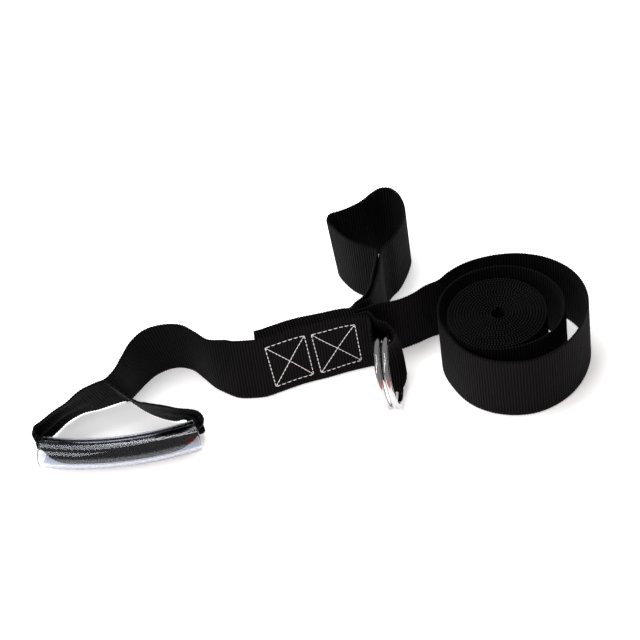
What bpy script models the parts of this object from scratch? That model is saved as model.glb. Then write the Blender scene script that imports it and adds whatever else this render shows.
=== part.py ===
"""Webbing exercise strap: tube grip, twin rings, sewn junction, back loop and coiled long strap.

Millimetres are used for the plan, and MM turns them into metres.  The webbing stands on edge on
the XY plane.  X runs along the strap from the grip to the coil, and Z points up.
"""
import math

import bmesh
import bpy
from mathutils import Vector

MM = 0.001

# Driving dimensions, in millimetres.
WEB_WIDTH = 50.0
WEB_THICK = 1.6
CONTACT_GAP = 0.3
# Curved layers come a little closer than their plan, so their pitch has some slack.
LAYER_SLACK = 0.05
LAYER_PITCH = WEB_THICK + CONTACT_GAP + LAYER_SLACK
FOOTPRINT_CENTRE = (-14.33, -23.27)

STITCH_LOW = 7.0
STITCH_HIGH = 40.0
STITCH_OPEN = 0.88
STITCH_LIFT = 0.45
STITCH_THICK = 0.6

RING_WIRE = 4.1
RING_INSIDE = 41.9
RING_RADIUS = (RING_INSIDE + RING_WIRE) / 2
RING_SPACING = 5.4
RING_CENTRE = Vector((42.0, -84.4, 25.55))
RING_AXIS = Vector((0.978, -0.148, 0.146)).normalized()
RING_BACK = (Vector((0, 1, 0)) - RING_AXIS * RING_AXIS.y).normalized()
RING_UP = RING_AXIS.cross(RING_BACK)

BIGHT_BACK = 26.7
BIGHT_UPPER = 24.4
BIGHT_LOWER = 13.0
BIGHT_LIFT = Vector((0, 0, 1.4))

GRIP_OUTSIDE = 20.6
GRIP_INSIDE = 15.9
GRIP_BEND_RADIUS = 187.0
GRIP_BEND_CENTRE = Vector((-131.5, 84.2, GRIP_OUTSIDE / 2))
GRIP_ANGLES = (-19.5, 12.5)
BUNDLE_HEIGHT = 12.4
BUNDLE_THICK = 6.4
BUNDLE_OVERHANG = 3.6

COIL_CENTRE = Vector((115.4, -70.0, 0.0))
ROLL_RADIUS = 32.9
ROLL_CORE_RADIUS = 4.6
ROLL_START = -450.0
COIL_STEP = 15.0

# Radius of the loose turns around the coil's centre, as (heading in degrees, radius).
LOOSE_TURNS = (
    (129, 51.2), (110, 52.8), (86, 54.5), (64, 57.5), (45, 60.0), (27, 61.3), (8, 60.3),
    (-20, 56.0), (-44, 52.8), (-75, 48.5), (-98, 44.2), (-126, 40.0), (-158, 37.0), (-187, 38.8),
    (-219, 41.5), (-264, 43.5), (-300, 44.6), (-341, 45.0), (-367, 43.3), (-389, 40.8),
    (-412, 37.0), (-432, 34.2), (-450, 32.9))
OUTER_TURN_END = -172.0
OUTER_TURN_RADIUS = 37.6
# Angle left open between the inner turn and the roll that it leads into.
COIL_SEAM = 0.7

# Plan of the standing webbing: bottom edge x, y, then how far the top edge leans in x and y.
# Line of the junction's front layer: bottom edge x, y, then how far the top edge leans back.
PANEL_LEAN_X = 0.5
PANEL_LINE = (
    (-66.0, -58.0, 4.6), (-62.0, -61.2, 4.7), (-54.5, -63.2, 5.0), (-44.0, -64.3, 5.2),
    (-34.0, -62.0, 5.2), (-18.0, -57.9, 4.5), (0.0, -55.4, 3.2), (14.0, -53.0, 1.8),
    (27.0, -51.6, -0.8), (34.0, -51.0, -2.0))
STACK_STEP = 2.5
STACK_LEFT = -45.0
STACK_RIGHT = 20.0
WAVE_PLAN = (
    (-64.0, -59.8, 0.5, 4.5), (-68.5, -56.0, 0.5, 1.5), (-75.0, -50.0, 0.0, -2.5),
    (-83.0, -38.5, -1.0, -4.0), (-90.0, -29.0, -3.0, -5.0), (-98.0, -24.6, -6.0, -6.5),
    (-107.0, -24.6, -9.5, -8.0), (-116.0, -28.3, -10.0, -12.0), (-124.0, -35.5, -9.0, -16.5),
    (-129.5, -42.0, -9.5, -20.0), (-132.5, -45.2, -11.5, -21.5))
LONG_END_PLAN = (
    (30.0, -46.4, 0.3, 0.4), (40.0, -43.4, 0.0, -0.6), (48.0, -41.0, 0.0, -3.0),
    (54.5, -39.2, 0.0, -3.9))
RUN_PLAN = (
    (58.0, -38.2, 0.0, -4.0), (65.0, -36.0, 0.0, -3.0), (72.0, -33.2, 0.0, -1.5),
    (79.0, -31.0, 0.0, -0.3))
NECK_PLANS = {
    "loop_end_left": (
        (25.0, -40.2, 0.3, 0.9), (31.6, -34.8, 0.0, 0.5), (36.2, -26.5, 0.0, 0.0)),
    "loop_end_right": (
        (26.3, -42.2, 0.3, 0.8), (34.0, -37.6, 0.0, 0.0), (38.9, -28.0, 0.0, 0.0))}
LOOP_WALL_PLANS = {
    "loop_left_wall": (
        (37.4, -22.8, 0.0, 0.0), (39.6, -15.5, 0.0, 0.0), (42.6, -5.0, 0.0, 0.0),
        (44.6, 3.0, 0.0, 0.0), (45.0, 7.6, 0.0, 0.0), (41.8, 10.8, 0.0, 0.0),
        (35.0, 15.6, 0.0, 0.0), (28.8, 21.2, 0.0, 0.0), (23.3, 29.5, -0.5, 0.0),
        (19.8, 37.5, -1.2, 0.0)),
    "loop_back_wall": (
        (18.6, 43.0, -3.0, 1.1), (20.6, 47.8, -2.9, 2.8), (26.0, 49.2, -1.0, 3.2),
        (33.5, 50.0, -0.8, 5.0), (42.0, 52.8, -0.2, 7.2), (49.2, 57.6, 0.6, 9.4),
        (54.8, 60.8, 1.0, 9.4), (60.6, 61.0, 1.4, 7.4)),
    "loop_right_wall": (
        (65.4, 57.6, 0.6, 5.4), (68.6, 51.0, 0.0, 3.4), (69.2, 43.6, 0.0, 1.4),
        (67.0, 36.0, 0.8, 0.0), (62.3, 25.4, 0.8, 0.0), (57.4, 17.2, 0.0, 0.0),
        (51.2, 10.6, -0.4, 0.0), (47.8, 5.2, -0.2, 0.0), (46.0, -3.5, 0.0, 0.0),
        (44.4, -11.0, 0.0, 0.0), (40.6, -22.8, 0.0, 0.0))}
HANDLE_LEGS = {
    "handle_left_leg": (
        ((-137.5, -47.7, 0.8), (-146.5, -69.5, 44.5)),
        ((-149.0, -49.8, 0.8), (-156.5, -72.5, 44.8)),
        ((-156.5, -51.0, 0.9), (-163.5, -74.7, 43.6)),
        ((-167.2, -52.8, 1.4), (-173.3, -78.0, 39.0)),
        ((-176.4, -56.5, 3.4), (-182.0, -78.6, 31.0)),
        ((-184.2, -64.0, 4.3), (-190.5, -80.0, 23.0)),
        ((-192.0, -73.0, 4.4), (-196.0, -81.0, 18.6))),
    "handle_right_leg": (
        ((-131.5, -52.5, 0.8), (-126.4, -84.0, 38.0)),
        ((-122.5, -61.2, 0.9), (-117.0, -89.5, 41.0)),
        ((-111.5, -69.5, 1.6), (-106.0, -94.0, 40.0)),
        ((-99.5, -75.5, 3.0), (-95.0, -98.0, 33.0)),
        ((-90.0, -79.0, 4.2), (-86.5, -95.0, 24.0)),
        ((-84.0, -84.5, 4.2), (-82.5, -92.5, 17.4)))}
# From each mouth of the tube, how far the bundle goes out and turns back toward its leg.
MOUTH_TURN = ((6.4, 6.6), (5.0, 1.6), (2.2, 0.0), (CONTACT_GAP, 0.0))
HANDLE_FOLD = Vector((-134.5, -48.0, 0.0))
STRAP_FOLD = Vector((-63.0, -60.6, 0.0))
LOOP_FOLD = Vector((38.2, -24.8, 0.0))
COIL_FOLD = Vector((56.3, -38.8, 0.0))


def clear_scene():
    for item in list(bpy.data.objects):
        bpy.data.objects.remove(item, do_unlink=True)


def make_material(name, colour, roughness, metallic=0.0, alpha=1.0):
    material = bpy.data.materials.new(name)
    material.use_nodes = True
    shader = material.node_tree.nodes["Principled BSDF"]
    shader.inputs["Base Color"].default_value = (*colour, 1.0)
    shader.inputs["Roughness"].default_value = roughness
    shader.inputs["Metallic"].default_value = metallic
    shader.inputs["Alpha"].default_value = alpha
    return material


def to_world(point):
    return Vector((point.x - FOOTPRINT_CENTRE[0], point.y - FOOTPRINT_CENTRE[1], point.z)) * MM


def make_object(name, vertices, faces, material, pivot=None):
    """Builds one closed mesh, with the object's origin on its pivot."""
    origin = to_world(pivot) if pivot is not None else Vector((0, 0, 0))
    mesh = bpy.data.meshes.new(name)
    mesh.from_pydata([to_world(vertex) - origin for vertex in vertices], [], faces)
    shape = bmesh.new()
    shape.from_mesh(mesh)
    bmesh.ops.recalc_face_normals(shape, faces=shape.faces)
    shape.to_mesh(mesh)
    shape.free()
    mesh.shade_smooth()
    mesh.set_sharp_from_angle(angle=math.radians(35))
    mesh.materials.append(material)
    item = bpy.data.objects.new(name, mesh)
    item.location = origin
    bpy.context.collection.objects.link(item)
    return item


def smooth_rows(rows, spacing):
    """Reads a smooth curve through the rows, with a row about every spacing millimetres."""
    middles = [sum(row, Vector()) / len(row) for row in rows]
    knots = [0.0]
    for before, after in zip(middles, middles[1:]):
        knots.append(knots[-1] + (after - before).length)
    last = len(rows) - 1

    def slope(index, column):
        low = max(index - 1, 0)
        high = min(index + 1, last)
        return (rows[high][column] - rows[low][column]) / (knots[high] - knots[low])

    result = []
    for index in range(last):
        span = knots[index + 1] - knots[index]
        steps = max(1, round(span / spacing))
        for step in range(steps):
            result.append([hermite(rows[index][column], rows[index + 1][column],
                                   slope(index, column) * span,
                                   slope(index + 1, column) * span, step / steps)
                           for column in range(len(rows[0]))])
    result.append(rows[-1])
    return result


def hermite(start, end, start_slope, end_slope, t):
    return (start * (2 * t**3 - 3 * t**2 + 1) + start_slope * (t**3 - 2 * t**2 + t)
            + end * (3 * t**2 - 2 * t**3) + end_slope * (t**3 - t**2))


def webbing(name, rows, material, thicknesses=None, pivot=None):
    """Gives a sheet of webbing its thickness.  Each row runs from its bottom to its top edge."""
    count = len(rows)
    across = len(rows[0])
    thicknesses = thicknesses or [WEB_THICK] * count
    front = []
    back = []
    for i in range(count):
        before = rows[max(i - 1, 0)]
        after = rows[min(i + 1, count - 1)]
        for j in range(across):
            along = after[j] - before[j]
            upward = rows[i][min(j + 1, across - 1)] - rows[i][max(j - 1, 0)]
            normal = along.cross(upward).normalized()
            front.append(rows[i][j] + normal * thicknesses[i] / 2)
            back.append(rows[i][j] - normal * thicknesses[i] / 2)
    behind = len(front)
    faces = []
    for i in range(count - 1):
        for j in range(across - 1):
            corner = i * across + j
            quad = (corner, corner + 1, corner + across + 1, corner + across)
            faces.append(quad)
            faces.append(tuple(behind + v for v in reversed(quad)))
        for j in (0, across - 1):
            corner = i * across + j
            faces.append((corner, corner + across, behind + corner + across, behind + corner))
    for i in (0, count - 1):
        for j in range(across - 1):
            corner = i * across + j
            faces.append((corner, corner + 1, behind + corner + 1, behind + corner))
    return make_object(name, front + back, faces, material, pivot)


def standing_row(x, y, lean_x, lean_y):
    """A straight row of full width that stands on the ground and leans a little."""
    rise = math.sqrt(WEB_WIDTH**2 - lean_x**2 - lean_y**2)
    foot = Vector((x, y, WEB_THICK / 2 * abs(lean_y) / WEB_WIDTH))
    return [foot, foot + Vector((lean_x, lean_y, rise))]


def panel_line(x):
    """The y and the lean of the junction's front layer at a place along it, on smooth curves."""
    index = max(i for i in range(1, len(PANEL_LINE) - 2) if PANEL_LINE[i][0] <= x)
    before, start, end, after = PANEL_LINE[index - 1:index + 3]
    span = end[0] - start[0]
    t = (x - start[0]) / span
    return [hermite(start[k], end[k], (end[k] - before[k]) / (end[0] - before[0]) * span,
                    (after[k] - start[k]) / (after[0] - start[0]) * span, t) for k in (1, 2)]


def layer_row(x, layer):
    """A row of the sewn stack, a number of layers behind the front one."""
    y, lean = panel_line(x)
    return standing_row(x, y + layer * LAYER_PITCH, PANEL_LEAN_X, lean)


def stack_rows(first, last, layer):
    """Rows of one layer of the stack, at the same places in every layer."""
    count = round((last - first) / STACK_STEP)
    return [layer_row(first + STACK_STEP * i, layer) for i in range(count + 1)]


def ring_point(along, back, up):
    return RING_CENTRE + RING_AXIS * along + RING_BACK * back + RING_UP * up


def bight_inside_row(along, low_angle, high_angle, radius=18.9, points=7):
    """The webbing where it curls through the rings."""
    row = []
    for step in range(points):
        angle = math.radians(low_angle + (high_angle - low_angle) * step / (points - 1))
        row.append(ring_point(along, radius * math.cos(angle), radius * math.sin(angle)))
    return row


def bight_outside_row(along, bend, points=7):
    """The gathered webbing where it comes back behind the rings, its upper half bent forward."""
    radius = BIGHT_UPPER / math.radians(bend)
    row = []
    for step in range(points):
        rise = (BIGHT_UPPER + BIGHT_LOWER) * step / (points - 1) - BIGHT_LOWER
        back, up = BIGHT_BACK, rise
        if rise > 0:
            back -= radius * (1 - math.cos(rise / radius))
            up = radius * math.sin(rise / radius)
        row.append(ring_point(along, back, up))
    return row


def fill_row(row, points=7):
    foot, head = row
    return [foot.lerp(head, step / (points - 1)) for step in range(points)]


def build_ring_bight(material):
    """The strap from the panel through both rings, round them and back into the stack."""
    rows = [
        fill_row(layer_row(28.0, 0)),
        fill_row(layer_row(29.4, 0)),
        bight_inside_row(-8.6, -70.0, 60.0),
        bight_inside_row(-4.2, -88.0, 58.0),
        bight_inside_row(0.2, -92.0, 48.0),
        bight_inside_row(4.0, -60.0, 50.0, radius=23.1),
        bight_outside_row(0.2, 20.0),
        bight_outside_row(-5.0, 8.0),
        fill_row([point + BIGHT_LIFT for point in standing_row(30.6, -49.8, 0.4, -1.2)]),
        fill_row(layer_row(STACK_RIGHT + STACK_STEP, 1)),
        fill_row(layer_row(STACK_RIGHT, 1))]
    rows = smooth_rows(rows, 3.0)
    sewn = stack_rows(STACK_LEFT, STACK_RIGHT - STACK_STEP, 1)
    rows += [fill_row(row) for row in reversed(sewn)]
    webbing("ring_bight", rows, material)


def build_loop_end(name, layer, material):
    """One end of the back loop: along the sewn stack, then round the corner into the neck."""
    sewn = stack_rows(STACK_LEFT, STACK_RIGHT - STACK_STEP, layer)
    bend = [layer_row(STACK_RIGHT, layer)]
    bend += [standing_row(*station) for station in NECK_PLANS[name]]
    webbing(name, sewn + smooth_rows(bend, 3.0), material)


def build_junction(webbing_black):
    """The sewn stack, from the handle strap in front to the ends of the back loop."""
    panel = [layer_row(x, 0) for x in (-61.0, -57.0, -53.0, -49.0)]
    panel += stack_rows(STACK_LEFT, STACK_RIGHT + STACK_STEP, 0) + [layer_row(27.6, 0)]
    webbing("strap_panel", panel, webbing_black)
    build_ring_bight(webbing_black)
    long_end = stack_rows(STACK_LEFT, STACK_RIGHT - STACK_STEP, 2)
    bend = [layer_row(STACK_RIGHT, 2)] + [standing_row(*station) for station in LONG_END_PLAN]
    webbing("long_strap_end", long_end + smooth_rows(bend, 5.0), webbing_black)
    build_loop_end("loop_end_right", 3, webbing_black)
    build_loop_end("loop_end_left", 4, webbing_black)


def build_stitch_box(name, left_x, right_x, thread):
    """The thread of a box with a cross, as one thin lattice on the panel's front face."""
    outside = ((left_x, STITCH_LOW), (right_x, STITCH_LOW),
               (right_x, STITCH_HIGH), (left_x, STITCH_HIGH))
    middle = ((left_x + right_x) / 2, (STITCH_LOW + STITCH_HIGH) / 2)
    flat = list(outside)
    for i in range(4):
        start = outside[i]
        end = outside[(i + 1) % 4]
        centre = [(start[k] + end[k] + middle[k]) / 3 for k in (0, 1)]
        for corner in (start, end, middle):
            flat.append([centre[k] + (corner[k] - centre[k]) * STITCH_OPEN for k in (0, 1)])
    polygons = []
    for i in range(4):
        after = (i + 1) % 4
        left, right, tip = (4 + 3 * i + k for k in range(3))
        next_left, next_tip = 4 + 3 * after, 6 + 3 * after
        polygons.append((i, after, right, left))
        polygons.append((right, after, next_left))
        polygons.append((tip, right, next_left, next_tip))
    polygons.append((6, 9, 12, 15))
    vertices = [panel_front(x, z, STITCH_LIFT) for x, z in flat]
    vertices += [panel_front(x, z, STITCH_LIFT + STITCH_THICK) for x, z in flat]
    count = len(flat)
    faces = list(polygons) + [tuple(count + v for v in reversed(face)) for face in polygons]
    rims = [(0, 1, 2, 3)] + [(4 + 3 * i, 5 + 3 * i, 6 + 3 * i) for i in range(4)]
    for rim in rims:
        for start, end in zip(rim, rim[1:] + rim[:1]):
            faces.append((start, end, count + end, count + start))
    make_object(name, vertices, faces, thread)


def panel_front(x, z, lift):
    """A point a little in front of the panel's front face."""
    y, lean = panel_line(x)
    return Vector((x, y + lean * z / WEB_WIDTH - WEB_THICK / 2 - lift, z))


def grip_point(degrees):
    angle = math.radians(degrees)
    return GRIP_BEND_CENTRE + GRIP_BEND_RADIUS * Vector((math.sin(angle), -math.cos(angle), 0))


def build_handle(webbing_black):
    first, last = GRIP_ANGLES
    overhang = math.degrees(BUNDLE_OVERHANG / GRIP_BEND_RADIUS)
    angles = [first - overhang + (last - first + 2 * overhang) * i / 12 for i in range(13)]
    half = Vector((0, 0, BUNDLE_HEIGHT / 2))
    inside = [[grip_point(angle) - half, grip_point(angle) + half] for angle in angles]
    bundle = [BUNDLE_THICK] * len(inside)
    webbing("grip_webbing", inside, webbing_black, bundle, pivot=HANDLE_FOLD)
    area = WEB_WIDTH * WEB_THICK
    for name, edges in HANDLE_LEGS.items():
        rows = [[Vector(low), Vector(high)] for low, high in edges]
        end = -1 if name == "handle_left_leg" else 1
        mouth_angle = angles[0] if end < 0 else angles[-1]
        mouth = grip_point(mouth_angle)
        outward = (mouth - grip_point(mouth_angle - end)).normalized()
        toward = (GRIP_BEND_CENTRE - mouth).normalized()
        for out, back in MOUTH_TURN:
            middle = mouth + outward * out + toward * back
            rows.append([middle - half, middle + half])
        rows = smooth_rows(rows, 6.0)
        thick = [min(area / (row[1] - row[0]).length, BUNDLE_THICK) for row in rows]
        webbing(name, rows, webbing_black, thick, pivot=HANDLE_FOLD)


def build_tube(name, material):
    """The clear grip: a tube bent to an arc that lies flat."""
    sides = 20
    stations = 12
    vertices = []
    faces = []
    for step in range(stations + 1):
        angle = GRIP_ANGLES[0] + (GRIP_ANGLES[1] - GRIP_ANGLES[0]) * step / stations
        centre = grip_point(angle)
        across = (centre - GRIP_BEND_CENTRE).normalized()
        for radius in (GRIP_OUTSIDE / 2, GRIP_INSIDE / 2):
            for side in range(sides):
                turn = 2 * math.pi * side / sides
                vertices.append(centre + across * radius * math.cos(turn)
                                + Vector((0, 0, radius * math.sin(turn))))
    ring = 2 * sides
    for step in range(stations):
        for side in range(sides):
            after = (side + 1) % sides
            for layer in (0, sides):
                base = step * ring + layer
                faces.append((base + side, base + after, base + ring + after, base + ring + side))
    for base in (0, stations * ring):
        for side in range(sides):
            after = (side + 1) % sides
            faces.append((base + side, base + after, base + sides + after, base + sides + side))
    make_object(name, vertices, faces, material, pivot=GRIP_BEND_CENTRE)


def build_ring(name, along, material):
    """One welded ring, turned from its wire's round section."""
    turns = 40
    sides = 10
    vertices = []
    for step in range(turns):
        angle = 2 * math.pi * step / turns
        for side in range(sides):
            section = 2 * math.pi * side / sides
            radius = RING_RADIUS + RING_WIRE / 2 * math.cos(section)
            vertices.append(ring_point(along + RING_WIRE / 2 * math.sin(section),
                                       radius * math.cos(angle), radius * math.sin(angle)))
    faces = []
    for step in range(turns):
        for side in range(sides):
            after = (side + 1) % sides
            next_step = (step + 1) % turns
            faces.append((step * sides + side, step * sides + after,
                          next_step * sides + after, next_step * sides + side))
    make_object(name, vertices, faces, material, pivot=ring_point(along, RING_RADIUS, 0))


def coil_row(degrees, radius):
    angle = math.radians(degrees)
    foot = COIL_CENTRE + radius * Vector((math.cos(angle), math.sin(angle), 0))
    return [foot, foot + Vector((0, 0, WEB_WIDTH))]


def build_coil(webbing_black):
    loose = [coil_row(*turn) for turn in LOOSE_TURNS]
    outer = [row for row, turn in zip(loose, LOOSE_TURNS) if turn[0] > OUTER_TURN_END]
    inner = [row for row, turn in zip(loose, LOOSE_TURNS) if turn[0] < OUTER_TURN_END]
    seam = coil_row(OUTER_TURN_END, OUTER_TURN_RADIUS)
    gap = (inner[0][0] - outer[-1][0]).normalized() * CONTACT_GAP
    outer_rows = smooth_rows(outer + [seam], 8.0)
    webbing("coil_outer_turn", outer_rows, webbing_black, pivot=COIL_FOLD)
    start = [point + gap for point in seam]
    end = coil_row(ROLL_START + COIL_SEAM, ROLL_RADIUS)
    inner_rows = smooth_rows([start] + inner[:-1] + [end], 8.0)
    webbing("coil_inner_turn", inner_rows, webbing_black, pivot=COIL_FOLD)
    turns = (ROLL_RADIUS - ROLL_CORE_RADIUS) / LAYER_PITCH
    count = round(turns * 360 / COIL_STEP)
    roll = [coil_row(ROLL_START - COIL_STEP * i, ROLL_RADIUS - LAYER_PITCH * i * COIL_STEP / 360)
            for i in range(count + 1)]
    webbing("coil_roll", roll, webbing_black, pivot=COIL_FOLD)


def main():
    clear_scene()
    webbing_black = make_material("webbing", (0.012, 0.012, 0.014), 0.75)
    thread = make_material("thread", (0.85, 0.85, 0.84), 0.6)
    clear_vinyl = make_material("clear_vinyl", (0.9, 0.92, 0.95), 0.1, alpha=0.4)
    steel = make_material("ring_steel", (0.8, 0.8, 0.8), 0.12, metallic=1.0)

    build_junction(webbing_black)
    build_stitch_box("box_stitch_left", -38.5, -11.0, thread)
    build_stitch_box("box_stitch_right", -7.0, 22.0, thread)
    wave = [standing_row(*station) for station in WAVE_PLAN]
    webbing("strap_wave", smooth_rows(wave, 5.0), webbing_black, pivot=STRAP_FOLD)
    build_handle(webbing_black)
    build_tube("grip_tube", clear_vinyl)
    build_ring("ring_left", -RING_SPACING, steel)
    build_ring("ring_right", 0.0, steel)
    for name, plan in LOOP_WALL_PLANS.items():
        rows = [standing_row(*station) for station in plan]
        webbing(name, smooth_rows(rows, 5.0), webbing_black, pivot=LOOP_FOLD)
    run = [standing_row(*station) for station in RUN_PLAN]
    webbing("long_strap_run", smooth_rows(run, 6.0), webbing_black, pivot=COIL_FOLD)
    build_coil(webbing_black)


main()
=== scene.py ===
import math

import bmesh
import bpy
import numpy as np
from mathutils import Matrix, Vector


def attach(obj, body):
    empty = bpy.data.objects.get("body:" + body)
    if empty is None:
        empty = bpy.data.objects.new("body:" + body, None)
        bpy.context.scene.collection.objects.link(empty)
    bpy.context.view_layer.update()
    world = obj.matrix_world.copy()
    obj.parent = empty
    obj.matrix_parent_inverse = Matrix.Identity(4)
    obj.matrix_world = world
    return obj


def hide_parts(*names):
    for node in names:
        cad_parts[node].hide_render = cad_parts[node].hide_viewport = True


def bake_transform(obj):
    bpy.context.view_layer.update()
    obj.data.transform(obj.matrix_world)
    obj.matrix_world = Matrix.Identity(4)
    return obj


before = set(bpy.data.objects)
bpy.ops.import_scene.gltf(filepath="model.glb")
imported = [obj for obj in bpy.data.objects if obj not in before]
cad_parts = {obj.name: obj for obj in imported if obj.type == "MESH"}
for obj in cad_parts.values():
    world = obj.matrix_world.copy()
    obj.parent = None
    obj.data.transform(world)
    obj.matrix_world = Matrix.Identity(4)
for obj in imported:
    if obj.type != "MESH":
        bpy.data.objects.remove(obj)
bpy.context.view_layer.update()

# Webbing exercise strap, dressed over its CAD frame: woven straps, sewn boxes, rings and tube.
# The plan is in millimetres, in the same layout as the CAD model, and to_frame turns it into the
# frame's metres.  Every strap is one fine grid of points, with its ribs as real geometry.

MM = 0.001
PLAN_CENTRE = np.array((-14.33, -23.27, 0.0))

# Webbing, in millimetres.
WEB_WIDTH = 50.0
WEB_THICK = 1.6
LAYER_PITCH = 1.95
RIB_PITCH = 1.95
RIB_STEPS = 5
YARN_PITCH = 1.25
HALF_THICK = 0.70
RIB_HEIGHT = 0.17
SCALLOP = 0.14
SCALLOP_REACH = 1.2
# Distance from the selvage, and the share of full thickness there.
EDGE_PROFILE = ((0.0, 0.30), (0.12, 0.62), (0.35, 0.88), (0.8, 1.0), (2.4, 1.0), (6.0, 1.0),
                (11.0, 1.0), (16.0, 1.0), (21.0, 1.0))
ACROSS = 61
PLEATS = 2

# Rings and their bight.
RING_WIRE = 4.1
RING_RADIUS = 23.0
RING_SPACING = 5.4
RING_CENTRE = np.array((42.0, -84.4, 25.55))
RING_AXIS = np.array((0.978, -0.148, 0.146)) / np.linalg.norm((0.978, -0.148, 0.146))
RING_BACK = np.array((0.0, 1.0, 0.0)) - RING_AXIS * RING_AXIS[1]
RING_BACK = RING_BACK / np.linalg.norm(RING_BACK)
RING_UP = np.cross(RING_AXIS, RING_BACK)
BIGHT_BACK = 26.7
BIGHT_UPPER = 24.4
BIGHT_LOWER = 13.0
BIGHT_LIFT = np.array((0, 0, 1.4))
BIGHT_POINTS = 7

# Stitches.
STITCH_LENGTH = 2.7
STITCH_RADIUS = 0.27

# Grip tube.
GRIP_OUTSIDE = 20.6
GRIP_INSIDE = 15.9
GRIP_BEND_RADIUS = 187.0
GRIP_BEND_CENTRE = np.array((-131.5, 84.2, GRIP_OUTSIDE / 2))
GRIP_ANGLES = (-19.5, 12.5)

# Coil.
COIL_CENTRE = np.array((115.4, -70.0, 0.0))
ROLL_RADIUS = 32.9
ROLL_CORE_RADIUS = 4.6
ROLL_START = -450.0
LOOSE_TURNS = (
    (129, 51.2), (110, 52.8), (86, 54.5), (64, 57.5), (45, 60.0), (27, 61.3), (8, 60.3),
    (-20, 56.0), (-44, 52.8), (-75, 48.5), (-98, 44.2), (-126, 40.0), (-158, 37.0), (-187, 38.8),
    (-219, 41.5), (-264, 43.5), (-300, 44.6), (-341, 45.0), (-367, 43.3), (-389, 40.8),
    (-412, 37.0), (-432, 34.2), (-450, 32.9))

# Places along the sewn stack where its hidden layers are read.
STACK_PLACES = np.arange(-45.0, 20.1, 5.0)
# Line of the junction's front layer: bottom edge x, y, then how far the top edge leans back.
PANEL_LEAN_X = 0.5
PANEL_LINE = (
    (-66.0, -58.0, 4.6), (-62.0, -61.2, 4.7), (-54.5, -63.2, 5.0), (-44.0, -64.3, 5.2),
    (-34.0, -62.0, 5.2), (-18.0, -57.9, 4.5), (0.0, -55.4, 3.2), (14.0, -53.0, 1.8),
    (27.0, -51.6, -0.8), (34.0, -51.0, -2.0))
# Plans of the standing webbing: bottom edge x, y, then how far the top edge leans in x and y.
WAVE_PLAN = (
    (-64.0, -59.8, 0.5, 4.5), (-68.5, -56.0, 0.5, 1.5), (-75.0, -50.0, 0.0, -2.5),
    (-83.0, -38.5, -1.0, -4.0), (-90.0, -29.0, -3.0, -5.0), (-98.0, -24.6, -6.0, -6.5),
    (-107.0, -24.6, -9.5, -8.0), (-116.0, -28.3, -10.0, -12.0), (-124.0, -35.5, -9.0, -16.5),
    (-129.5, -42.0, -9.5, -20.0), (-134.5, -46.6, -11.0, -21.5))
RUN_PLAN = (
    (30.0, -46.4, 0.3, 0.4), (40.0, -43.4, 0.0, -0.6), (48.0, -41.0, 0.0, -3.0),
    (54.5, -39.2, 0.0, -3.9), (65.0, -36.0, 0.0, -3.0), (72.0, -33.2, 0.0, -1.5))
LOOP_PLAN = (
    (25.0, -40.2, 0.3, 0.9), (31.6, -34.8, 0.0, 0.5), (36.2, -26.5, 0.0, 0.0),
    (39.6, -15.5, 0.0, 0.0), (42.6, -5.0, 0.0, 0.0), (44.6, 3.0, 0.0, 0.0),
    (45.0, 7.6, 0.0, 0.0), (41.8, 10.8, 0.0, 0.0), (35.0, 15.6, 0.0, 0.0),
    (28.8, 21.2, 0.0, 0.0), (23.3, 29.5, -0.5, 0.0), (19.8, 37.5, -1.2, 0.0),
    (18.6, 43.0, -3.0, 1.1), (20.6, 47.8, -2.9, 2.8), (26.0, 49.2, -1.0, 3.2),
    (33.5, 50.0, -0.8, 5.0), (42.0, 52.8, -0.2, 7.2), (49.2, 57.6, 0.6, 9.4),
    (54.8, 60.8, 1.0, 9.4), (60.6, 61.0, 1.4, 7.4), (65.4, 57.6, 0.6, 5.4),
    (68.6, 51.0, 0.0, 3.4), (69.2, 43.6, 0.0, 1.4), (67.0, 36.0, 0.8, 0.0),
    (62.3, 25.4, 0.8, 0.0), (57.4, 17.2, 0.0, 0.0), (51.2, 10.6, -0.4, 0.0),
    (47.8, 5.2, -0.2, 0.0), (46.0, -3.5, 0.0, 0.0), (44.4, -11.0, 0.0, 0.0),
    (40.6, -22.8, 0.0, 0.0), (38.9, -28.0, 0.0, 0.0), (34.0, -37.6, 0.0, 0.0),
    (26.3, -42.2, 0.3, 0.8))
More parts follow.
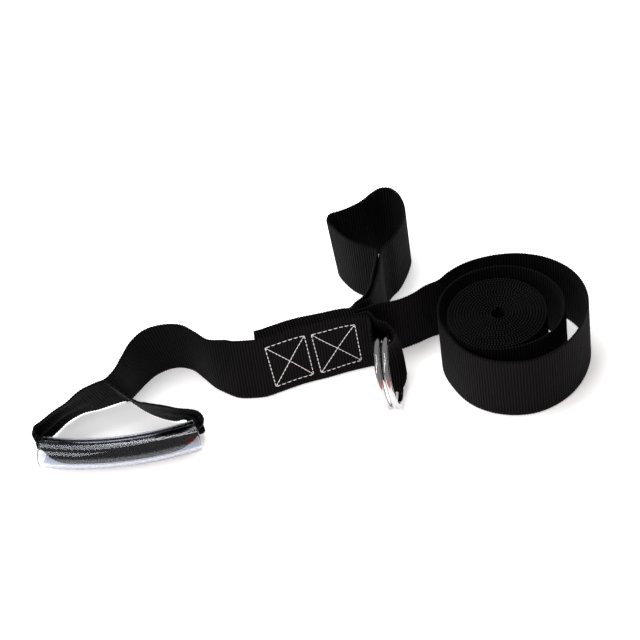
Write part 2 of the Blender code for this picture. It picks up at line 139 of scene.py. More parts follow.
# Legs of the handle loop, each from the apex to the tube's mouth: the strap's middle, the way its
# width points, how sharply its lengthwise pleats turn, and how deep they stay.
LEFT_LEG = (
    ((-146.0, -59.7, 23.0), (-8.5, -21.8, 44.0), 0.00, 0.35),
    ((-159.2, -63.7, 22.7), (-7.2, -23.6, 43.4), 0.10, 0.35),
    ((-170.3, -65.9, 20.2), (-6.1, -25.7, 37.6), 0.57, 0.30),
    ((-179.4, -68.0, 17.6), (-6.5, -20.5, 31.0), 1.00, 0.28),
    ((-187.8, -71.6, 14.2), (-9.5, -15.0, 24.0), 1.30, 0.26),
    ((-194.4, -76.6, 12.6), (-7.0, -6.0, 18.5), 1.62, 0.24),
    ((-197.3, -82.3, 11.6), (-1.0, 0.0, 14.5), 1.85, 0.25))
RIGHT_LEG = (
    ((-87.8, -92.6, 11.6), (1.0, -1.0, 16.0), 1.82, 0.28),
    ((-89.6, -87.0, 13.0), (2.5, -6.0, 19.0), 1.62, 0.30),
    ((-94.8, -84.2, 15.8), (4.5, -15.0, 22.0), 1.35, 0.32),
    ((-102.6, -85.2, 19.3), (5.4, -23.1, 34.7), 0.75, 0.32),
    ((-112.7, -82.1, 20.9), (6.1, -28.2, 39.7), 0.25, 0.35),
    ((-122.6, -75.5, 20.2), (5.6, -31.3, 38.6), 0.05, 0.35),
    ((-131.6, -66.6, 19.2), (5.1, -33.8, 36.2), 0.00, 0.35),
    ((-136.6, -62.5, 21.2), (-2.0, -28.5, 41.0), 0.00, 0.35),
    ((-141.2, -59.9, 22.8), (-8.2, -21.5, 44.3), 0.00, 0.35))


def to_frame(points):
    return (np.asarray(points, float) - PLAN_CENTRE) * MM


# ---------------------------------------------------------------- curves

def hermite(start, end, start_slope, end_slope, t):
    return (start * (2 * t**3 - 3 * t**2 + 1) + start_slope * (t**3 - 2 * t**2 + t)
            + end * (3 * t**2 - 2 * t**3) + end_slope * (t**3 - t**2))


def smooth(values, knots, spacing):
    """Reads a smooth curve through rows of values, at about every spacing of their knots."""
    values = np.asarray(values, float)
    knots = np.asarray(knots, float)
    slopes = np.gradient(values, knots, axis=0)
    result = []
    for i in range(len(values) - 1):
        span = knots[i + 1] - knots[i]
        steps = max(1, round(span / spacing))
        for step in range(steps):
            result.append(hermite(values[i], values[i + 1], slopes[i] * span,
                                  slopes[i + 1] * span, step / steps))
    result.append(values[-1])
    return np.array(result)


def length_knots(points):
    steps = np.linalg.norm(np.diff(points, axis=0), axis=1)
    return np.concatenate(([0.0], np.cumsum(steps)))


def strap_rows(stations, spacing=1.0):
    """Rows across a strap whose middle, width direction and pleats change along its way."""
    middles, ups, turns, depths = (np.array(part, float) for part in zip(*stations))
    ups = ups / np.linalg.norm(ups, axis=1)[:, None]
    state = np.column_stack((middles, ups, turns, depths))
    state = smooth(state, length_knots(middles), spacing)
    middles = state[:, :3]
    ups = state[:, 3:6] / np.linalg.norm(state[:, 3:6], axis=1)[:, None]
    along = np.gradient(middles, axis=0)
    along = along / np.linalg.norm(along, axis=1)[:, None]
    sides = np.cross(along, ups)
    sides = sides / np.linalg.norm(sides, axis=1)[:, None]
    share = np.linspace(0, 1, ACROSS)
    angle = state[:, 6:7] * np.sin(2 * math.pi * PLEATS * share)[None, :]
    step = WEB_WIDTH / (ACROSS - 1)
    rise = across_sum(np.cos(angle)) * step
    drift = across_sum(np.sin(angle)) * step * state[:, 7:8]
    rise -= rise.mean(axis=1)[:, None]
    drift -= drift.mean(axis=1)[:, None]
    return (middles[:, None, :] + rise[..., None] * ups[:, None, :]
            + drift[..., None] * sides[:, None, :])


def across_sum(values):
    halves = (values[:, 1:] + values[:, :-1]) / 2
    return np.concatenate((np.zeros((len(values), 1)), np.cumsum(halves, axis=1)), axis=1)


def standing(x, y, lean_x, lean_y):
    """The state of a flat strap that stands on its edge at a place."""
    up = np.array((lean_x, lean_y, math.sqrt(WEB_WIDTH**2 - lean_x**2 - lean_y**2)))
    foot = np.array((x, y, WEB_THICK / 2 * abs(lean_y) / WEB_WIDTH))
    return foot + up / 2, up, 0.0, 0.5


def panel_line(x):
    """The y and the lean of the junction's front layer at a place along it, on smooth curves."""
    index = max(i for i in range(1, len(PANEL_LINE) - 2) if PANEL_LINE[i][0] <= x)
    before, start, end, after = (np.array(place) for place in PANEL_LINE[index - 1:index + 3])
    span = end[0] - start[0]
    curve = hermite(start, end, (end - before) / (end[0] - before[0]) * span,
                    (after - start) / (after[0] - start[0]) * span, (x - start[0]) / span)
    return curve[1], curve[2]


def layer(x, number):
    """The state of one layer of the sewn stack, a number of layers behind the front one."""
    y, lean = panel_line(x)
    return standing(x, y + number * LAYER_PITCH, PANEL_LEAN_X, lean)


# ---------------------------------------------------------------- woven straps

def fine_rows(rows):
    """Reads the rows again at the ribs' own step, on a smooth curve, with the length so far."""
    lengths = length_knots(rows[:, ACROSS // 2])
    count = max(8, round(lengths[-1] / RIB_PITCH * RIB_STEPS))
    places = np.linspace(0, lengths[-1], count + 1)
    index = np.clip(np.searchsorted(lengths, places, side="right") - 1, 0, len(rows) - 2)
    span = lengths[index + 1] - lengths[index]
    t = ((places - lengths[index]) / span)[:, None, None]
    slopes = np.gradient(rows, lengths, axis=0)
    span = span[:, None, None]
    fine = hermite(rows[index], rows[index + 1], slopes[index] * span, slopes[index + 1] * span, t)
    return fine, places


def across_places():
    """Places across the strap and its share of thickness there, selvage to selvage."""
    left = [(-WEB_WIDTH / 2 + distance, share) for distance, share in EDGE_PROFILE]
    right = [(-place, share) for place, share in reversed(left)]
    return np.array(left + [(0.0, 1.0)] + right)


def weave(name, rows, material, phase=0.0):
    """Builds a strap from its rows: two ribbed faces, rounded selvages and closed ends."""
    rows, places = fine_rows(rows)
    places = places + phase
    profile = across_places()
    wave = np.cos(2 * math.pi * places / RIB_PITCH)
    columns = np.linspace(-WEB_WIDTH / 2, WEB_WIDTH / 2, ACROSS)
    position = np.clip(np.searchsorted(columns, profile[:, 0], side="right") - 1, 0, ACROSS - 2)
    t = (profile[:, 0] - columns[position]) / (columns[1] - columns[0])
    middle = rows[:, position] * (1 - t)[None, :, None] + rows[:, position + 1] * t[None, :, None]
    along = np.gradient(middle, axis=0)
    across = np.gradient(middle, profile[:, 0], axis=1)
    across /= np.linalg.norm(across, axis=2)[..., None]
    normal = np.cross(along, across)
    normal /= np.linalg.norm(normal, axis=2)[..., None]
    near_edge = np.clip(1 - (WEB_WIDTH / 2 - np.abs(profile[:, 0])) / SCALLOP_REACH, 0, 1)
    shift = np.sign(profile[:, 0]) * near_edge * SCALLOP
    middle = middle + across * (wave[:, None] * shift[None, :])[..., None]
    thick = profile[:, 1][None, :] * (HALF_THICK + RIB_HEIGHT * wave[:, None])
    front = middle + normal * thick[..., None]
    back = middle - normal * thick[..., None]
    return woven_mesh(name, front, back, places, profile[:, 0], material)


def woven_mesh(name, front, back, places, widths, material):
    count, columns = front.shape[:2]
    loop = np.concatenate((front, back[:, ::-1]), axis=1)
    around = 2 * columns
    points = to_frame(loop.reshape(-1, 3))
    first = np.arange(count - 1)[:, None] * around
    side = np.arange(around)[None, :]
    after = (side + 1) % around
    quads = np.stack((first + side, first + after, first + around + after, first + around + side),
                     axis=2).reshape(-1, 4)
    ends = []
    for start, flip in ((0, 1), ((count - 1) * around, -1)):
        for i in range(columns - 1):
            quad = [start + i, start + i + 1, start + around - 2 - i, start + around - 1 - i]
            ends.append(quad[::flip])
    faces = np.concatenate((quads, np.array(ends)))
    mesh = bpy.data.meshes.new(name)
    mesh.from_pydata(points.tolist(), [], faces.tolist())
    coordinates = np.column_stack((
        np.repeat(places, around), np.tile(np.concatenate((widths, widths[::-1])), count)))
    layer_uv = mesh.uv_layers.new(name="weave")
    corners = np.empty(len(mesh.loops), dtype=np.int32)
    mesh.loops.foreach_get("vertex_index", corners)
    layer_uv.data.foreach_set("uv", coordinates[corners].ravel())
    mesh.shade_smooth()
    mesh.materials.append(material)
    piece = bpy.data.objects.new(name, mesh)
    bpy.context.collection.objects.link(piece)
    turn_outward(piece)
    return piece


def turn_outward(piece):
    """Flips a closed mesh whose faces look inward."""
    shape = bmesh.new()
    shape.from_mesh(piece.data)
    if shape.calc_volume(signed=True) < 0:
        piece.data.flip_normals()
    shape.free()


# ---------------------------------------------------------------- materials

def new_material(name, colour, roughness, metallic=0.0):
    material = bpy.data.materials.new(name)
    material.use_nodes = True
    shader = material.node_tree.nodes["Principled BSDF"]
    shader.inputs["Base Color"].default_value = (*colour, 1.0)
    shader.inputs["Roughness"].default_value = roughness
    shader.inputs["Metallic"].default_value = metallic
    return material, material.node_tree.nodes, material.node_tree.links, shader


def math_node(nodes, links, operation, first, second=None, third=None):
    node = nodes.new("ShaderNodeMath")
    node.operation = operation
    for socket, value in zip(node.inputs, (first, second, third)):
        if value is None:
            continue
        if isinstance(value, (int, float)):
            socket.default_value = value
        else:
            links.new(value, socket)
    return node.outputs[0]


def webbing_material(name, crest, groove_shade, roughness=0.62):
    """Black ribbed webbing, with painted shade in the grooves between the ribs and between the warp
    yarns that cross them.
    """
    material, nodes, links, shader = new_material(name, crest, roughness)
    shader.inputs["Specular IOR Level"].default_value = 0.03
    shader.inputs["Sheen Weight"].default_value = 0.01
    shader.inputs["Sheen Roughness"].default_value = 0.5
    uv = nodes.new("ShaderNodeUVMap")
    uv.uv_map = "weave"
    split = nodes.new("ShaderNodeSeparateXYZ")
    links.new(uv.outputs["UV"], split.inputs[0])
    along, across = split.outputs[0], split.outputs[1]
    rib_turn = math_node(nodes, links, "MULTIPLY", along, 2 * math.pi / RIB_PITCH)
    rib = math_node(nodes, links, "COSINE", rib_turn)
    rib = math_node(nodes, links, "MULTIPLY_ADD", rib, 0.5, 0.5)
    rib = math_node(nodes, links, "POWER", rib, 1.6)
    rib_number = math_node(nodes, links, "DIVIDE", along, RIB_PITCH)
    rib_number = math_node(nodes, links, "FLOOR", rib_number)
    yarn_turn = math_node(nodes, links, "MULTIPLY_ADD", across, 2 * math.pi / YARN_PITCH,
                          math_node(nodes, links, "MULTIPLY", rib_number, math.pi))
    yarn = math_node(nodes, links, "COSINE", yarn_turn)
    yarn = math_node(nodes, links, "MULTIPLY_ADD", yarn, 0.5, 0.5)
    noise = nodes.new("ShaderNodeTexNoise")
    noise.inputs["Scale"].default_value = 0.09
    noise.inputs["Detail"].default_value = 5.0
    links.new(uv.outputs["UV"], noise.inputs["Vector"])
    # Painted shade: the colour is mixed towards the near-black groove colour where the rib and yarn
    # profiles are low, in the grooves.
    groove_shade_mix = nodes.new("ShaderNodeMix")
    groove_shade_mix.data_type = "RGBA"
    groove_shade_mix.inputs[6].default_value = (*groove_shade, 1.0)
    groove_shade_mix.inputs[7].default_value = (*crest, 1.0)
    unshaded_share = math_node(nodes, links, "MULTIPLY_ADD", yarn, 0.35, 0.65)
    unshaded_share = math_node(nodes, links, "MULTIPLY", rib, unshaded_share)
    links.new(unshaded_share, groove_shade_mix.inputs[0])
    wear = nodes.new("ShaderNodeMix")
    wear.data_type = "RGBA"
    wear.blend_type = "MULTIPLY"
    wear.inputs[0].default_value = 1.0
    tone = nodes.new("ShaderNodeMapRange")
    tone.inputs["From Min"].default_value = 0.3
    tone.inputs["From Max"].default_value = 0.7
    tone.inputs["To Min"].default_value = 0.75
    tone.inputs["To Max"].default_value = 1.3
    links.new(noise.outputs["Fac"], tone.inputs["Value"])
    links.new(groove_shade_mix.outputs[2], wear.inputs[6])
    links.new(tone.outputs[0], wear.inputs[7])
    links.new(wear.outputs[2], shader.inputs["Base Color"])
    rough = nodes.new("ShaderNodeMapRange")
    rough.inputs["To Min"].default_value = roughness - 0.1
    rough.inputs["To Max"].default_value = roughness + 0.12
    links.new(noise.outputs["Fac"], rough.inputs["Value"])
    links.new(rough.outputs[0], shader.inputs["Roughness"])
    fibre = nodes.new("ShaderNodeTexNoise")
    fibre.inputs["Scale"].default_value = 2.6
    fibre.inputs["Detail"].default_value = 3.0
    links.new(uv.outputs["UV"], fibre.inputs["Vector"])
    height = math_node(nodes, links, "MULTIPLY_ADD", fibre.outputs["Fac"], 0.35, yarn)
    bump = nodes.new("ShaderNodeBump")
    bump.inputs["Strength"].default_value = 0.55
    bump.inputs["Distance"].default_value = 0.00012
    links.new(height, bump.inputs["Height"])
    links.new(bump.outputs["Normal"], shader.inputs["Normal"])
    return material


def thread_material():
    material, nodes, links, shader = new_material("white_thread", (0.86, 0.86, 0.85), 0.55)
    coords = nodes.new("ShaderNodeTexCoord")
    twist = nodes.new("ShaderNodeTexWave")
    twist.bands_direction = "DIAGONAL"
    twist.inputs["Scale"].default_value = 900.0
    links.new(coords.outputs["Object"], twist.inputs["Vector"])
    # Painted shade in the hollows of the twist: the white darkens where the twist's bump height is low.
    twist_shade = nodes.new("ShaderNodeMapRange")
    twist_shade.inputs["To Min"].default_value = 0.72
    twist_shade.inputs["To Max"].default_value = 0.92
    links.new(twist.outputs["Fac"], twist_shade.inputs["Value"])
    links.new(twist_shade.outputs[0], shader.inputs["Base Color"])
    bump = nodes.new("ShaderNodeBump")
    bump.inputs["Strength"].default_value = 0.4
    bump.inputs["Distance"].default_value = 0.0001
    links.new(twist.outputs["Fac"], bump.inputs["Height"])
    links.new(bump.outputs["Normal"], shader.inputs["Normal"])
    shader.inputs["Sheen Weight"].default_value = 0.2
    return material


def steel_material():
    material, nodes, links, shader = new_material("ring_steel", (0.50, 0.50, 0.51), 0.12, 1.0)
    coords = nodes.new("ShaderNodeTexCoord")
    noise = nodes.new("ShaderNodeTexNoise")
    noise.inputs["Scale"].default_value = 420.0
    noise.inputs["Detail"].default_value = 6.0
    links.new(coords.outputs["Object"], noise.inputs["Vector"])
    rough = nodes.new("ShaderNodeMapRange")
    rough.inputs["From Min"].default_value = 0.35
    rough.inputs["From Max"].default_value = 0.7
    rough.inputs["To Min"].default_value = 0.07
    rough.inputs["To Max"].default_value = 0.22
    links.new(noise.outputs["Fac"], rough.inputs["Value"])
    links.new(rough.outputs[0], shader.inputs["Roughness"])
    bump = nodes.new("ShaderNodeBump")
    bump.inputs["Strength"].default_value = 0.12
    bump.inputs["Distance"].default_value = 0.0001
    links.new(noise.outputs["Fac"], bump.inputs["Height"])
    links.new(bump.outputs["Normal"], shader.inputs["Normal"])
    return material


def vinyl_material():
    material, nodes, links, shader = new_material("clear_vinyl", (0.74, 0.77, 0.85), 0.03)
    shader.inputs["Transmission Weight"].default_value = 1.0
    shader.inputs["IOR"].default_value = 1.45
    coords = nodes.new("ShaderNodeTexCoord")
    noise = nodes.new("ShaderNodeTexNoise")
    noise.inputs["Scale"].default_value = 25.0
    noise.inputs["Detail"].default_value = 0.0
    links.new(coords.outputs["Object"], noise.inputs["Vector"])
    rough = nodes.new("ShaderNodeMapRange")
    rough.inputs["To Min"].default_value = 0.02
    rough.inputs["To Max"].default_value = 0.04
    links.new(noise.outputs["Fac"], rough.inputs["Value"])
    links.new(rough.outputs[0], shader.inputs["Roughness"])
    return material


# ---------------------------------------------------------------- straps

def ring_point(along, back, up):
    return RING_CENTRE + RING_AXIS * along + RING_BACK * back + RING_UP * up


def bight_inside(along, low_angle, high_angle, radius=18.9, points=BIGHT_POINTS):
    angles = np.radians(np.linspace(low_angle, high_angle, points))
    return [ring_point(along, radius * math.cos(a), radius * math.sin(a)) for a in angles]


def bight_outside(along, bend, points=BIGHT_POINTS):
    """The gathered webbing where it comes back behind the rings, its upper half bent forward."""
    radius = BIGHT_UPPER / math.radians(bend)
    row = []
    for step in range(points):
        rise = (BIGHT_UPPER + BIGHT_LOWER) * step / (points - 1) - BIGHT_LOWER
        back, up = BIGHT_BACK, rise
        if rise > 0:
            back -= radius * (1 - math.cos(rise / radius))
            up = radius * math.sin(rise / radius)
        row.append(ring_point(along, back, up))
    return row


def straight(station, points=BIGHT_POINTS):
    middle, up = station[:2]
    return [middle + up * (step / (points - 1) - 0.5) for step in range(points)]


def bight_rows():
    """The strap's way from its sewn end, behind the rings, round and back through them."""
    coarse = [
        straight(layer(20.0, 1)),
        straight(layer(25.0, 1)),
        [point + BIGHT_LIFT for point in straight(standing(30.6, -49.8, 0.4, -1.2))],
        bight_outside(-5.0, 8.0),
        bight_outside(0.2, 20.0),
        bight_inside(4.0, -60.0, 50.0, radius=23.1),
        bight_inside(0.2, -92.0, 48.0),
        bight_inside(-4.2, -88.0, 58.0),
        bight_inside(-8.6, -70.0, 60.0),
        straight(layer(29.4, 0)),
        straight(layer(28.0, 0))]
    coarse = np.array(coarse)
    knots = length_knots(coarse.mean(axis=1))
    flat = smooth(coarse.reshape(len(coarse), -1), knots, 1.0)
    rows = flat.reshape(len(flat), BIGHT_POINTS, 3).transpose(1, 0, 2)
    across = smooth(rows.reshape(BIGHT_POINTS, -1), np.linspace(0, 1, BIGHT_POINTS), 1 / (ACROSS - 1))
    across = across.reshape(len(across), -1, 3)
    picks = np.linspace(0, len(across) - 1, ACROSS)
    low = np.floor(picks).astype(int)
    high = np.minimum(low + 1, len(across) - 1)
    share = (picks - low)[:, None, None]
    return (across[low] * (1 - share) + across[high] * share).transpose(1, 0, 2)


def grip_point(degrees):
    angle = math.radians(degrees)
    return GRIP_BEND_CENTRE + GRIP_BEND_RADIUS * np.array((math.sin(angle), -math.cos(angle), 0))


def grip_stations():
    """The pleated strap's way through the tube, drawn to the inner side at both mouths."""
    up = np.array((0.0, -0.25, 0.97))
    first, last = GRIP_ANGLES
    stations = []
    for angle, sense, steps in ((first, -1, ((0.0, 4.4, 2.05, 0.25), (-5.0, 2.2, 2.02, 0.6),
                                             (-12.0, 0.8, 2.0, 0.95))),
                                (last, 1, ((-12.0, 0.8, 2.0, 0.95), (-5.0, 2.0, 2.02, 0.65),
                                           (0.0, 3.8, 2.05, 0.3)))):
        mouth = grip_point(angle)
        outward = mouth - grip_point(angle - sense)
        outward /= np.linalg.norm(outward)
        toward = GRIP_BEND_CENTRE - mouth
        toward /= np.linalg.norm(toward)
        stations += [(mouth + outward * out + toward * back + np.array((0, 0, back * 0.12)), up,
                      turn, depth) for out, back, turn, depth in steps]
        if sense < 0:
            inner = np.linspace(first + 9.0, last - 9.0, 5)
            stations += [(grip_point(place) + np.array((0, -0.6, 0)), up, 2.0, 0.98)
                         for place in inner]
    return stations


def handle_strap_rows():
    """The handle strap's rows in one run, from its sewn end to the end of the right leg."""
    sewn = strap_rows([layer(x, 1) for x in STACK_PLACES])
    panel_x = np.arange(28.0, -61.0, -4.0)
    front = [layer(x, 0) for x in panel_x] + [standing(*place) for place in WAVE_PLAN]
    long_way = strap_rows(front + list(LEFT_LEG) + grip_stations() + list(RIGHT_LEG))
    return np.concatenate((sewn[:-1], bight_rows()[:-1], long_way))


def cut(rows, test):
    """The index of the first row, along the strap, whose middle meets a test."""
    middles = rows[:, ACROSS // 2]
    return next(i for i, middle in enumerate(middles) if test(middle))


def build_handle_strap(material):
    rows, places = fine_rows(handle_strap_rows())
    split_wave = cut(rows, lambda p: p[0] < -50.0)
    split_leg = cut(rows, lambda p: p[0] < -119.0)
    split_grip = cut(rows, lambda p: p[0] < -185.0)
    pieces = []
    bounds = (0, split_wave, split_leg, split_grip, len(rows) - 1)
    names = ("handle_strap_panel", "handle_strap_wave", "handle_strap_left_leg",
             "handle_strap_grip_run")
    for name, start, end in zip(names, bounds, bounds[1:]):
        part = rows[start:end + 1]
        piece = weave(name, part, material, places[start])
        length = (places[end] - places[start]) * MM
        pieces.append((piece, length))
    (panel, panel_length), (wave, wave_length), (left, left_length), (grip, grip_length) = pieces
    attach(panel, "junction")
    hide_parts("strap_panel", "ring_bight")
    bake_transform(wave)
    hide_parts("strap_wave")
    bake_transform(left)
    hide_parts("handle_left_leg")
    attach(grip, "handle")
    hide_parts("grip_webbing", "handle_right_leg")


def coil_rows():
    """The long strap: sewn end, run, two loose turns and the tight roll."""
    turns = (ROLL_RADIUS - ROLL_CORE_RADIUS) / LAYER_PITCH
    headings = [turn[0] for turn in LOOSE_TURNS]
    radii = [turn[1] for turn in LOOSE_TURNS]
    angle_knots = -np.array(headings, float)
    radius_rows = smooth(np.column_stack((headings, radii)), angle_knots, 6.0)
    roll_angles_down = np.arange(ROLL_START - 6.0, ROLL_START - turns * 360, -6.0)
    roll_radii = ROLL_RADIUS - LAYER_PITCH * (ROLL_START - roll_angles_down) / 360
    headings = np.radians(np.concatenate((radius_rows[:, 0], roll_angles_down)))
    radii = np.concatenate((radius_rows[:, 1], roll_radii))
    feet = COIL_CENTRE + np.column_stack((radii * np.cos(headings), radii * np.sin(headings),
                                          np.zeros(len(radii))))
    stations = [layer(x, 2) for x in STACK_PLACES]
    stations += [standing(*place) for place in RUN_PLAN]
    stations += [standing(foot[0], foot[1], 0.0, 0.0) for foot in feet]
    return strap_rows(stations)


def build_long_strap(material):
    rows = coil_rows()
    piece = weave("long_strap", rows, material)
    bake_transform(piece)
    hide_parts("long_strap_end", "long_strap_run", "coil_outer_turn", "coil_inner_turn",
                "coil_roll")


def build_loop_strap(material):
    """The back loop, with both of its ends sewn behind the other layers of the stack."""
    stations = [layer(x, 4) for x in STACK_PLACES] + [standing(*place) for place in LOOP_PLAN]
    stations += [layer(x, 3) for x in STACK_PLACES[::-1]]
    rows = strap_rows(stations)
    piece = weave("loop_strap", rows, material)
    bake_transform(piece)
    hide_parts("loop_end_left", "loop_end_right", "loop_left_wall", "loop_back_wall",
                "loop_right_wall")


# ---------------------------------------------------------------- stitches, rings and tube

def panel_face(x, z):
    """A point on the panel's front face, and the way that the face looks."""
    share = z / WEB_WIDTH
    y, lean = panel_line(x)
    next_y, next_lean = panel_line(x + 1)
    point = np.array((x + PANEL_LEAN_X * share, y + lean * share, z))
    ahead = np.array((x + 1 + PANEL_LEAN_X * share, next_y + next_lean * share, z))
    normal = np.cross(ahead - point, (PANEL_LEAN_X, lean, WEB_WIDTH))
    return point, normal / np.linalg.norm(normal)


def add_stitch(vertices, faces, start, end):
    """One stitch: a round thread that rises out of the webbing and dips back into it."""
    sides, steps = 8, 8
    direction = np.array((end[0] - start[0], end[1] - start[1]))
    base = len(vertices)
    for step in range(steps + 1):
        t = step / steps
        x, z = np.array(start) + direction * t
        point, normal = panel_face(x, z)
        ahead, _ = panel_face(x + direction[0] * 0.01, z + direction[1] * 0.01)
        along = (ahead - point) / np.linalg.norm(ahead - point)
        side = np.cross(normal, along)
        lift = HALF_THICK + 0.02 + 0.42 * math.sin(math.pi * t) ** 0.6
        radius = STITCH_RADIUS * (0.55 + 0.45 * math.sin(math.pi * t))
        centre = point + normal * lift
        for turn in range(sides):
            angle = 2 * math.pi * turn / sides
            vertices.append(centre + radius * (side * math.cos(angle) + normal * 0.8 * math.sin(angle)))
    for step in range(steps):
        for turn in range(sides):
            after = (turn + 1) % sides
            low = base + step * sides
            faces.append((low + turn, low + after, low + sides + after, low + sides + turn))
    faces.append(tuple(base + turn for turn in reversed(range(sides))))
    faces.append(tuple(base + steps * sides + turn for turn in range(sides)))


def build_stitch_box(name, node, top_left, top_right, low_right, low_left, material):
    corners = (top_left, top_right, low_right, low_left)
    lines = [(corners[i], corners[(i + 1) % 4], 0.9) for i in range(4)]
    lines += [(top_left, low_right, 0.25), (top_right, low_left, 0.25)]
    vertices = []
    faces = []
    for start, end, gap in lines:
        start, end = np.array(start), np.array(end)
        length = np.linalg.norm(end - start)
        count = max(1, round(length / (STITCH_LENGTH + gap)))
        pitch = 1 / count
        half = gap / 2 / length
        for i in range(count):
            add_stitch(vertices, faces, start + (end - start) * (i * pitch + half),
                       start + (end - start) * ((i + 1) * pitch - half))
    piece = solid_piece(name, vertices, faces, material)
    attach(piece, "junction")
    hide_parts(node)


def solid_piece(name, vertices, faces, material):
    mesh = bpy.data.meshes.new(name)
    mesh.from_pydata(to_frame(vertices).tolist(), [], faces)
    mesh.shade_smooth()
    mesh.materials.append(material)
    piece = bpy.data.objects.new(name, mesh)
    bpy.context.collection.objects.link(piece)
    turn_outward(piece)
    return piece


def build_ring(name, node, body, along, weld_at, material):
    """One ring of round wire, with the slight collar of its weld."""
    turns, sides = 220, 28
    vertices = []
    for step in range(turns):
        angle = 2 * math.pi * step / turns
        from_weld = RING_RADIUS * math.remainder(angle - math.radians(weld_at), 2 * math.pi)
        wire = RING_WIRE / 2 + 0.16 * math.exp(-(from_weld / 1.1) ** 2)
        for side in range(sides):
            section = 2 * math.pi * side / sides
            radius = RING_RADIUS + wire * math.cos(section)
            vertices.append(ring_point(along + wire * math.sin(section),
                                       radius * math.cos(angle), radius * math.sin(angle)))
    faces = []
    for step in range(turns):
        for side in range(sides):
            after = (side + 1) % sides
            next_step = (step + 1) % turns
            faces.append((step * sides + side, next_step * sides + side,
                          next_step * sides + after, step * sides + after))
    piece = solid_piece(name, vertices, faces, material)
    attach(piece, body)
    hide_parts(node)


def tube_section():
    """The tube's wall in section, as radius and how far it is set back from the end."""
    outside, inside = GRIP_OUTSIDE / 2, GRIP_INSIDE / 2
    rim = 0.45
    middle = (outside + inside) / 2
    return ((inside, rim), (inside + rim * 0.3, rim * 0.3), (inside + rim, 0.0), (middle, 0.0),
            (outside - rim, 0.0), (outside - rim * 0.3, rim * 0.3), (outside, rim))


def build_tube(material):
    """The clear grip: a bent tube with its wall's thickness and softly cut ends."""
    sides, steps = 72, 90
    first, last = (math.radians(angle) for angle in GRIP_ANGLES)
    profile = [(radius, first + set_back / GRIP_BEND_RADIUS) for radius, set_back in tube_section()]
    outer = GRIP_OUTSIDE / 2
    inner = GRIP_INSIDE / 2
    inset = 0.9 / GRIP_BEND_RADIUS
    middle_angles = np.linspace(first + inset, last - inset, steps)
    profile += [(outer, angle) for angle in middle_angles]
    profile += [(radius, last - set_back / GRIP_BEND_RADIUS)
                for radius, set_back in reversed(tube_section())]
    profile += [(inner, angle) for angle in middle_angles[::-1]]
    vertices = []
    for radius, angle in profile:
        centre = GRIP_BEND_CENTRE + GRIP_BEND_RADIUS * np.array((math.sin(angle), -math.cos(angle), 0))
        across = np.array((math.sin(angle), -math.cos(angle), 0))
        for side in range(sides):
            turn = 2 * math.pi * side / sides
            vertices.append(centre + across * radius * math.cos(turn)
                            + np.array((0, 0, radius * math.sin(turn))))
    count = len(profile)
    faces = []
    for i in range(count):
        for side in range(sides):
            after = (side + 1) % sides
            low, high = i * sides, ((i + 1) % count) * sides
            faces.append((low + side, low + after, high + after, high + side))
    piece = solid_piece("clear_grip", vertices, faces, material)
    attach(piece, "grip")
    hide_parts("grip_tube")


# ---------------------------------------------------------------- camera, light and floor

def build_camera():
    """Looks down at the strap from the front, turned a little about its own line of sight."""
    elevation = math.radians(44.5)
    turn = math.radians(9.0)
    distance = 1.5862
    forward = np.array((0, math.cos(elevation), -math.sin(elevation)))
    right = np.array((1.0, 0, 0))
    up = np.cross(right, forward)
    target = to_frame((0, 0, 0))
    camera_right = right * math.cos(turn) - up * math.sin(turn)
    camera_up = right * math.sin(turn) + up * math.cos(turn)
    data = bpy.data.cameras.new("camera")
    data.lens = 129.4
    data.sensor_width = 36.0
    data.clip_start = 0.01
    camera = bpy.data.objects.new("camera", data)
    matrix = Matrix.Identity(4)
    for row in range(3):
        matrix[row][0] = camera_right[row]
        matrix[row][1] = camera_up[row]
        matrix[row][2] = -forward[row]
        matrix[row][3] = target[row] - forward[row] * distance
    camera.matrix_world = matrix
    bpy.context.collection.objects.link(camera)
    bpy.context.scene.camera = camera


def add_area_light(name, place, target, size, power, shiny=True):
    data = bpy.data.lights.new(name, "AREA")
    data.shape = "RECTANGLE"
    data.size, data.size_y = size
    data.energy = power
    light = bpy.data.objects.new(name, data)
    light.location = place
    aim = Vector(target) - Vector(place)
    light.rotation_euler = aim.to_track_quat("-Z", "Y").to_euler()
    light.visible_glossy = shiny
    bpy.context.collection.objects.link(light)


def add_card(name, corners, colour, glow=0.0):
    """A flat card of the studio: the floor, or the red card that the steel and the tube mirror."""
    material, _, _, shader = new_material(name, colour, 0.9)
    shader.inputs["Emission Color"].default_value = (*colour, 1.0)
    shader.inputs["Emission Strength"].default_value = glow
    mesh = bpy.data.meshes.new(name)
    mesh.from_pydata(corners, [], [(0, 1, 2, 3)])
    mesh.materials.append(material)
    card = bpy.data.objects.new(name, mesh)
    bpy.context.collection.objects.link(card)


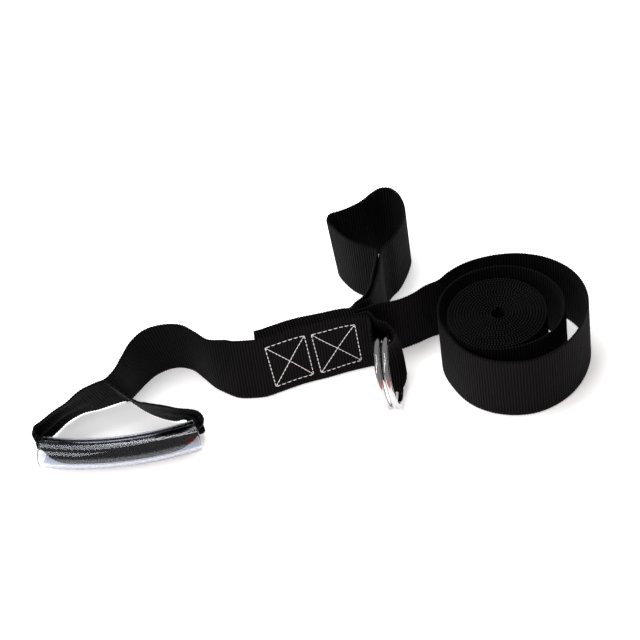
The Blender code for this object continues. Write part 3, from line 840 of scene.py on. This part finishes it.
def build_studio():
    world = bpy.data.worlds.new("studio")
    bpy.context.scene.world = world
    world.use_nodes = True
    background = world.node_tree.nodes["Background"]
    background.inputs["Color"].default_value = (1.0, 1.0, 1.0, 1.0)
    background.inputs["Strength"].default_value = 0.35
    add_area_light("soft_top", (-0.15, 0.25, 0.95), (0, 0, 0), (0.9, 0.7), 14.0, shiny=False)
    add_area_light("soft_front", (-0.75, -0.75, 0.75), (0, 0, 0.02), (0.6, 0.6), 8.0, shiny=False)
    add_area_light("strip_left", (-0.9, -0.25, 0.7), (0.0, 0.0, 0.02), (0.09, 0.9), 2.0)
    add_area_light("strip_top", (-0.1, -0.05, 1.1), (0.0, 0.0, 0.02), (0.9, 0.05), 1.2)
    floor_half = 4.0
    floor_low = -0.0004
    add_card("floor", [(-floor_half, -floor_half, floor_low), (floor_half, -floor_half, floor_low),
                       (floor_half, floor_half, floor_low), (-floor_half, floor_half, floor_low)],
             (0.93, 0.93, 0.93), glow=0.38)
    add_card("red_card", [(0.02, -0.50, 0.02), (0.28, -0.50, 0.02), (0.28, -0.56, 0.28),
                          (0.02, -0.56, 0.28)], (0.75, 0.06, 0.02), glow=0.5)


def main():
    bpy.context.scene.view_settings.view_transform = "Standard"
    build_camera()
    build_studio()
    # The second colour is the painted shade of the webbing's grooves.
    webbing = webbing_material("black_webbing", (0.0080, 0.0071, 0.0082), (0.0001, 0.0001, 0.0001))
    build_handle_strap(webbing)
    build_long_strap(webbing)
    build_loop_strap(webbing)
    thread = thread_material()
    build_stitch_box("sewn_box_left", "box_stitch_left", (-39.3, 41.2), (-12.4, 41.4), (-10.0, 6.7),
                     (-36.2, 6.5), thread)
    build_stitch_box("sewn_box_right", "box_stitch_right", (-7.7, 41.0), (21.8, 42.6), (23.2, 8.6),
                     (-4.8, 6.4), thread)
    steel = steel_material()
    build_ring("steel_ring_left", "ring_left", "ring_one", -RING_SPACING, 20.0, steel)
    build_ring("steel_ring_right", "ring_right", "ring_two", 0.0, 340.0, steel)
    build_tube(vinyl_material())


main()
